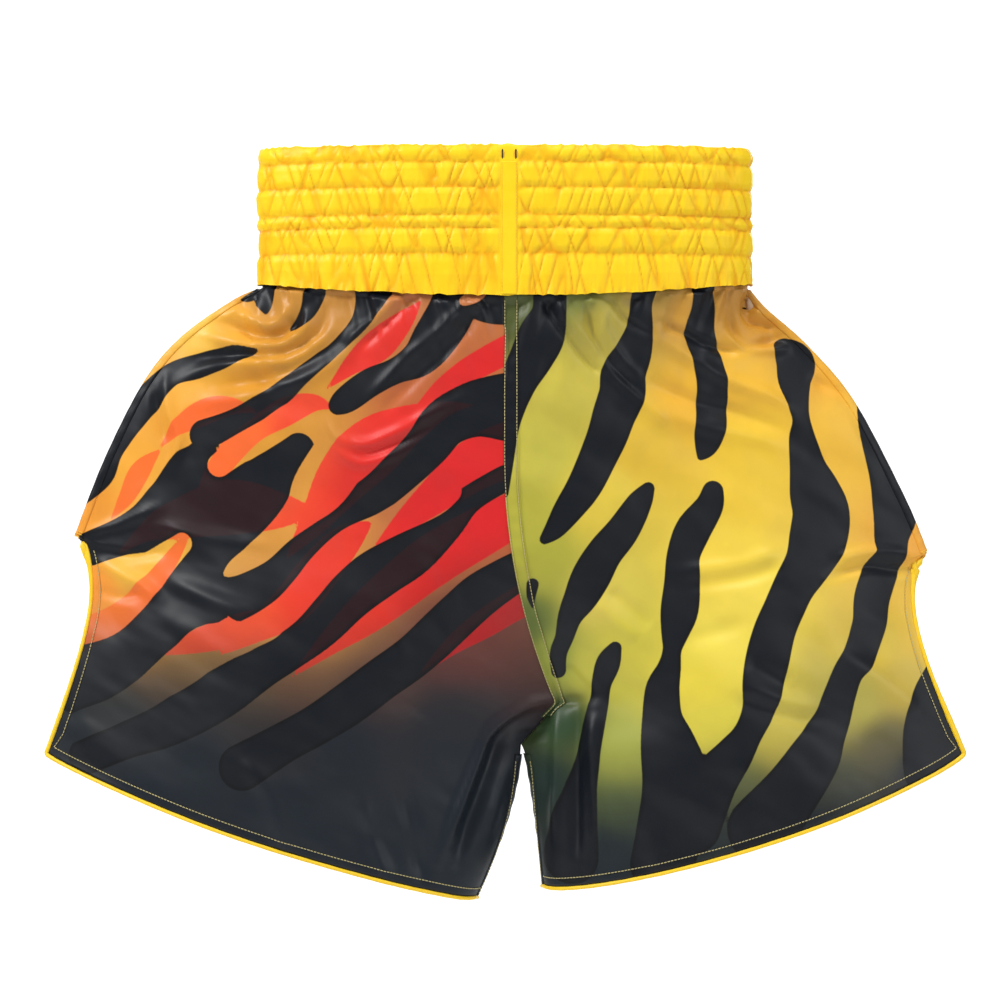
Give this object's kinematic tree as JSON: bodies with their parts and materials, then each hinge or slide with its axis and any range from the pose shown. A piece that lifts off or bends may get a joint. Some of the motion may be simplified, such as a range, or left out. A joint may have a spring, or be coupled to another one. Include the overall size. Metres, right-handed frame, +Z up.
{
  "type": "boxing shorts",
  "caption": "Satin boxing shorts with a wide shirred elastic waistband, panelled legs, vented sides and piped hems.",
  "frame": {"origin": "centre of the waist opening at the top rim of the waistband", "axes": "+Z up as worn, -Y out of the wearer's front, +X towards the wearer's left"},
  "size_m": [0.6422, 0.1108, 0.5241],
  "materials": {
    "waist_satin": "gathered bright yellow polyester satin",
    "right_leg_satin": "printed polyester satin, dark stripes on an orange and red ground",
    "left_leg_satin": "printed polyester satin, dark stripes on a green to golden ground",
    "piping": "bright yellow satin piping",
    "thread": "beige polyester thread",
    "elastic": "woven white elastic"
  },
  "bodies": {
    "root": {"waistband_casing": "waist_satin", "waistband_centre_strip": "waist_satin", "drawcord_buttonhole_right": "thread", "drawcord_buttonhole_left": "thread", "elastic_band_1": "elastic", "elastic_band_2": "elastic", "elastic_band_3": "elastic", "elastic_band_4": "elastic", "front_right_panel": "right_leg_satin", "back_right_panel": "right_leg_satin", "front_left_panel": "left_leg_satin", "back_left_panel": "left_leg_satin", "front_centre_seam_strip": "left_leg_satin", "back_centre_seam_strip": "left_leg_satin", "right_side_seam_strip": "right_leg_satin", "left_side_seam_strip": "left_leg_satin", "right_inseam_strip": "right_leg_satin", "left_inseam_strip": "left_leg_satin", "right_vent_bartack": "piping", "left_vent_bartack": "piping", "front_right_hem_facing": "right_leg_satin", "back_right_hem_facing": "right_leg_satin", "front_left_hem_facing": "left_leg_satin", "back_left_hem_facing": "left_leg_satin", "right_leg_piping": "piping", "left_leg_piping": "piping"}
  },
  "joints": []
}
